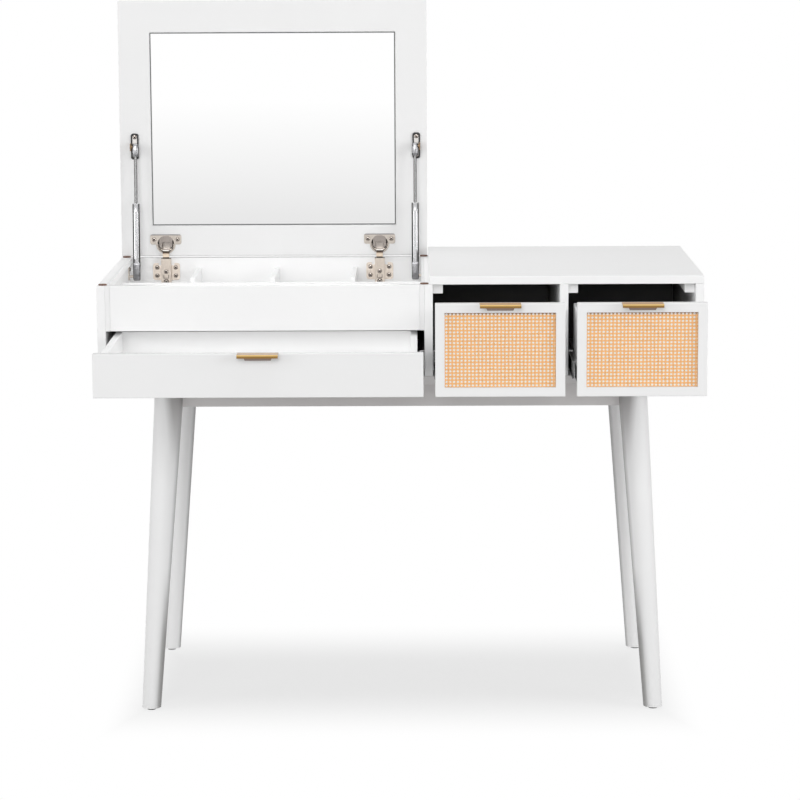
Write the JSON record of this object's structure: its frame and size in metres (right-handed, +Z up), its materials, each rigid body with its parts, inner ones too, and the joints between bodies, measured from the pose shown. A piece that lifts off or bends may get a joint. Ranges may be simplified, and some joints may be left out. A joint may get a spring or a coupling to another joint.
{
  "type": "vanity table",
  "caption": "White vanity table with a flip-up mirror lid over a divided tray, a wide drawer below it, cane-fronted drawers beside it and splayed tapered legs.",
  "frame": {"origin": "on the floor, under the middle of the table's box in its resting pose (lid up, drawers part open)", "axes": "+Z up, +Y from the drawer fronts to the back, +X from the mirror side to the cane drawers"},
  "size_m": [1.08, 0.76, 1.2695],
  "materials": {
    "white_lacquer": "satin white lacquer on board",
    "drawer_board": "matt white melamine board",
    "mirror": "silvered glass",
    "cane": "natural woven cane",
    "cane_backing": "white painted board",
    "brass": "brushed brass",
    "nickel": "nickel plate",
    "screw_steel": "bright zinc plate",
    "slide_steel": "zinc-plated steel",
    "strut_steel": "polished steel",
    "steel_plate": "zinc-plated steel",
    "bumper_rubber": "brown rubber",
    "glide_plastic": "dark plastic"
  },
  "bodies": {
    "carcass": {"side_panel_left": "white_lacquer", "side_panel_right": "white_lacquer", "middle_partition": "white_lacquer", "centre_partition": "white_lacquer", "bottom_panel": "white_lacquer", "back_panel_left": "white_lacquer", "back_panel_right": "white_lacquer", "table_top": "white_lacquer", "top_battens": "white_lacquer", "front_rail": "white_lacquer", "rim_strips": "white_lacquer", "compartment_floor": "white_lacquer", "compartment_dividers": "white_lacquer", "apron_front": "white_lacquer", "apron_back": "white_lacquer", "apron_left": "white_lacquer", "apron_right": "white_lacquer", "leg_front_left": "white_lacquer", "leg_front_right": "white_lacquer", "leg_rear_left": "white_lacquer", "leg_rear_right": "white_lacquer", "leg_glides": "glide_plastic", "leg_fixings": "steel_plate", "lid_bumpers": "bumper_rubber", "hinge_plates": "nickel", "hinge_arms": "nickel", "strut_foot_brackets": "nickel", "carcass_screws": "screw_steel", "slide_outer_rails": "slide_steel"},
    "lid": {"lid_board": "white_lacquer", "mirror_glass": "mirror", "hinge_cups": "nickel", "strut_lid_brackets": "nickel", "lid_screws": "screw_steel"},
    "strut_tube_left": {"strut_cylinder_left": "strut_steel"},
    "strut_bar_left": {"strut_rod_left": "strut_steel"},
    "strut_tube_right": {"strut_cylinder_right": "strut_steel"},
    "strut_bar_right": {"strut_rod_right": "strut_steel"},
    "wide_drawer": {"wide_walls": "drawer_board", "wide_bottom": "drawer_board", "wide_pull": "brass", "wide_inner_rails": "slide_steel", "wide_front": "white_lacquer"},
    "wide_runners": {"wide_middle_rails": "slide_steel"},
    "cane_left_drawer": {"cane_left_walls": "drawer_board", "cane_left_bottom": "drawer_board", "cane_left_pull": "brass", "cane_left_inner_rails": "slide_steel", "cane_left_frame": "white_lacquer", "cane_left_webbing": "cane", "cane_left_backing": "cane_backing"},
    "cane_left_runners": {"cane_left_middle_rails": "slide_steel"},
    "cane_right_drawer": {"cane_right_walls": "drawer_board", "cane_right_bottom": "drawer_board", "cane_right_pull": "brass", "cane_right_inner_rails": "slide_steel", "cane_right_frame": "white_lacquer", "cane_right_webbing": "cane", "cane_right_backing": "cane_backing"},
    "cane_right_runners": {"cane_right_middle_rails": "slide_steel"}
  },
  "joints": [
    {"name": "lid_hinge", "type": "hinge", "parent": "carcass", "child": "lid", "pos_m": [-0.245, 0.369, 0.7905], "axis": [1, 0, 0], "range_deg": [0, 90]},
    {"name": "strut_foot_left", "type": "hinge", "parent": "carcass", "child": "strut_tube_left", "pos_m": [-0.509, 0.327, 0.7445], "axis": [1, 0, 0], "range_deg": [0, 86.5]},
    {"name": "strut_rod_left", "type": "slide", "parent": "strut_tube_left", "child": "strut_bar_left", "axis": [0, 0.0665, 0.9978], "range_m": [-0.08725, 0]},
    {"name": "strut_foot_right", "type": "hinge", "parent": "carcass", "child": "strut_tube_right", "pos_m": [0.027, 0.327, 0.7445], "axis": [1, 0, 0], "range_deg": [0, 86.5]},
    {"name": "strut_rod_right", "type": "slide", "parent": "strut_tube_right", "child": "strut_bar_right", "axis": [0, 0.0665, 0.9978], "range_m": [-0.08725, 0]},
    {"name": "wide_slide", "type": "slide", "parent": "carcass", "child": "wide_drawer", "axis": [0, -1, 0], "range_m": [-0.252, 0.048]},
    {"name": "wide_runner", "type": "slide", "parent": "carcass", "child": "wide_runners", "axis": [0, -1, 0], "range_m": [-0.126, 0.024]},
    {"name": "cane_left_slide", "type": "slide", "parent": "carcass", "child": "cane_left_drawer", "axis": [0, -1, 0], "range_m": [-0.252, 0.048]},
    {"name": "cane_left_runner", "type": "slide", "parent": "carcass", "child": "cane_left_runners", "axis": [0, -1, 0], "range_m": [-0.126, 0.024]},
    {"name": "cane_right_slide", "type": "slide", "parent": "carcass", "child": "cane_right_drawer", "axis": [0, -1, 0], "range_m": [-0.252, 0.048]},
    {"name": "cane_right_runner", "type": "slide", "parent": "carcass", "child": "cane_right_runners", "axis": [0, -1, 0], "range_m": [-0.126, 0.024]}
  ],
  "couplings": [
    {"joint": "strut_foot_left", "follows": "lid_hinge", "ratio": 0.961},
    {"joint": "strut_rod_left", "follows": "lid_hinge", "m_per_rad": -0.055537},
    {"joint": "strut_foot_right", "follows": "lid_hinge", "ratio": 0.961},
    {"joint": "strut_rod_right", "follows": "lid_hinge", "m_per_rad": -0.055537},
    {"joint": "wide_runner", "follows": "wide_slide", "ratio": 0.5},
    {"joint": "cane_left_runner", "follows": "cane_left_slide", "ratio": 0.5},
    {"joint": "cane_right_runner", "follows": "cane_right_slide", "ratio": 0.5}
  ]
}
